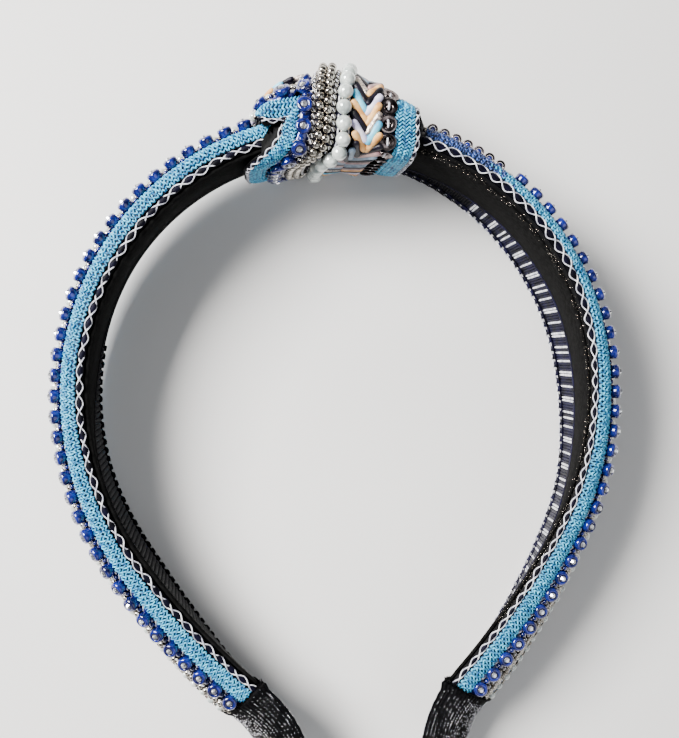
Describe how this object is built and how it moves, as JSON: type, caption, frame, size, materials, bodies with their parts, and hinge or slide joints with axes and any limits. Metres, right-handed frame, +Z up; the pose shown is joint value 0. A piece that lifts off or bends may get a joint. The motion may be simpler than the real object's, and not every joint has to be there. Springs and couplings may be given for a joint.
{
  "type": "top knot headband",
  "caption": "Padded top knot headband wrapped in a ribbon of braids, pearls, silver balls, blue rhinestones and sequins, with black knit tips.",
  "frame": {"origin": "on the floor under the middle of the headband, which lies on its side", "axes": "+Y from the tips to the knot, +Z up, along the band's depth from its back edge to its front edge; X from arm to arm, with the knot's lobe on the -X side"},
  "size_m": [0.155, 0.1904, 0.0427],
  "materials": {
    "black_satin": "smooth",
    "black_felt": "matt",
    "black_knit": "ribbed",
    "edging_cord": "twisted cord",
    "blue_braid": "braided",
    "rhinestone_blue": "polished",
    "silver_ball": "polished",
    "pearl": "pearly",
    "chevron_cord": "braided",
    "gunmetal_sequin": "polished"
  },
  "bodies": {
    "root": {"band_core": "black_satin", "lining": "black_felt", "left_tip_sleeve": "black_knit", "right_tip_sleeve": "black_knit", "knot_core": "black_satin", "lobe_core": "black_satin", "left_front_edging": "edging_cord", "left_front_braid": "blue_braid", "left_rhinestone_chain": "rhinestone_blue", "left_ball_band": "silver_ball", "left_pearl_string": "pearl", "left_chevron_braid": "chevron_cord", "left_sequin_row": "gunmetal_sequin", "left_back_braid": "blue_braid", "left_back_edging": "edging_cord", "right_front_edging": "edging_cord", "right_front_braid": "blue_braid", "right_rhinestone_chain": "rhinestone_blue", "right_ball_band": "silver_ball", "right_pearl_string": "pearl", "right_chevron_braid": "chevron_cord", "right_sequin_row": "gunmetal_sequin", "right_back_braid": "blue_braid", "right_back_edging": "edging_cord", "knot_front_edging": "edging_cord", "knot_front_braid": "blue_braid", "knot_rhinestone_chain": "rhinestone_blue", "knot_ball_band": "silver_ball", "knot_pearl_string": "pearl", "knot_chevron_braid": "chevron_cord", "knot_sequin_row": "gunmetal_sequin", "knot_back_braid": "blue_braid", "knot_back_edging": "edging_cord", "lobe_front_edging": "edging_cord", "lobe_front_braid": "blue_braid", "lobe_rhinestone_chain": "rhinestone_blue", "lobe_ball_band": "silver_ball", "lobe_pearl_string": "pearl", "lobe_chevron_braid": "chevron_cord", "lobe_sequin_row": "gunmetal_sequin", "lobe_back_braid": "blue_braid", "lobe_back_edging": "edging_cord"}
  },
  "joints": []
}
